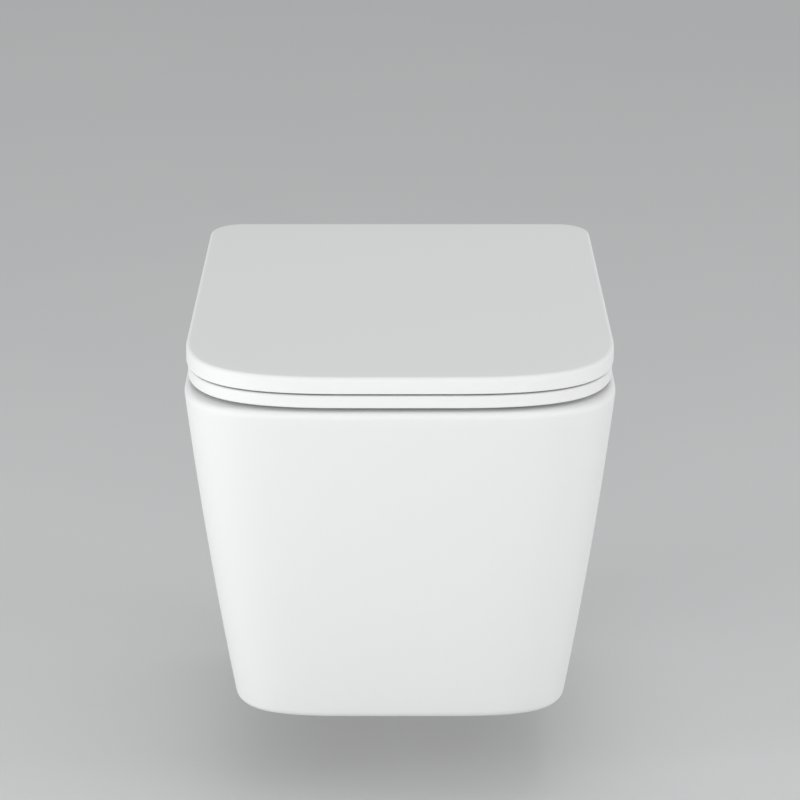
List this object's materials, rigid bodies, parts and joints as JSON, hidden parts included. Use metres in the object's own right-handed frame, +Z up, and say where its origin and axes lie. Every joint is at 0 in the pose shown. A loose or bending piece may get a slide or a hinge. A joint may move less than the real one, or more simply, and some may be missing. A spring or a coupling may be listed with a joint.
{
  "type": "wall hung toilet",
  "caption": "Wall hung rimless toilet, square D shape tapering to its foot, with a slim wrap-over lid and seat on soft-close quick-release hinges.",
  "frame": {"origin": "midway between the two wall studs, on the wall plane", "axes": "+Z up, +Y into the wall, the front of the pan at -Y, +X to the right seen from the front"},
  "size_m": [0.362, 0.4925, 0.36],
  "materials": {
    "glaze": "white sanitary glaze, high gloss",
    "duroplast": "white thermoset, polished",
    "hinge_steel": "stainless steel, satin",
    "hinge_plastic": "white glass-filled nylon, matt",
    "button_plastic": "grey acetal",
    "damper_plastic": "black moulded damper housing",
    "pad_rubber": "light grey thermoplastic rubber",
    "seal_rubber": "black rubber",
    "bush_rubber": "black rubber",
    "zinc_steel": "zinc-plated steel",
    "brass": "turned brass",
    "spring_steel": "drawn spring wire",
    "sleeve_plastic": "natural nylon",
    "cap_plastic": "white polished plastic"
  },
  "bodies": {
    "pan": {"pan_rim": "glaze", "pan_inlet": "glaze", "pan_skirt": "glaze", "pan_bowl": "glaze", "pan_foot": "glaze", "flush_inlet_seal": "seal_rubber", "flush_diverter": "hinge_plastic", "seat_damper_shaft": "hinge_steel", "seat_pivot_pin": "hinge_steel", "lid_damper_shaft": "hinge_steel", "lid_pivot_pin": "hinge_steel", "wall_bracket_left": "zinc_steel", "wall_bracket_right": "zinc_steel", "side_sleeve_left": "sleeve_plastic", "side_sleeve_right": "sleeve_plastic", "locking_screw_left": "zinc_steel", "locking_screw_right": "zinc_steel", "cover_cap_left": "cap_plastic", "cover_cap_right": "cap_plastic", "hinge_block_left": "hinge_plastic", "hinge_block_right": "hinge_plastic", "rosette_left": "hinge_steel", "rosette_right": "hinge_steel", "mounting_peg_left": "hinge_steel", "mounting_peg_right": "hinge_steel", "expanding_bush_left": "bush_rubber", "expanding_bush_right": "bush_rubber", "cone_nut_left": "brass", "cone_nut_right": "brass", "release_spring_left": "spring_steel", "release_spring_right": "spring_steel"},
    "seat": {"seat": "duroplast", "seat_buffers": "pad_rubber", "seat_damper": "damper_plastic", "seat_bush": "hinge_plastic"},
    "lid": {"lid": "duroplast", "lid_buffers": "pad_rubber", "lid_damper": "damper_plastic", "lid_bush": "hinge_plastic"},
    "button_left": {"release_button_left": "button_plastic"},
    "button_right": {"release_button_right": "button_plastic"}
  },
  "joints": [
    {"name": "seat_hinge", "type": "hinge", "parent": "pan", "child": "seat", "pos_m": [0, -0.04, 0.098], "axis": [-1, 0, 0], "range_deg": [0, 93]},
    {"name": "lid_hinge", "type": "hinge", "parent": "seat", "child": "lid", "pos_m": [0, -0.04, 0.098], "axis": [1, 0, 0], "range_deg": [-93, 0]},
    {"name": "release_left", "type": "slide", "parent": "pan", "child": "button_left", "axis": [0, 1, 0], "range_m": [0, 0.0025], "stiffness_N_per_m": 400, "springref_m": -0.003, "deforming": ["release_spring_left"]},
    {"name": "release_right", "type": "slide", "parent": "pan", "child": "button_right", "axis": [0, 1, 0], "range_m": [0, 0.0025], "stiffness_N_per_m": 400, "springref_m": -0.003, "deforming": ["release_spring_right"]}
  ]
}
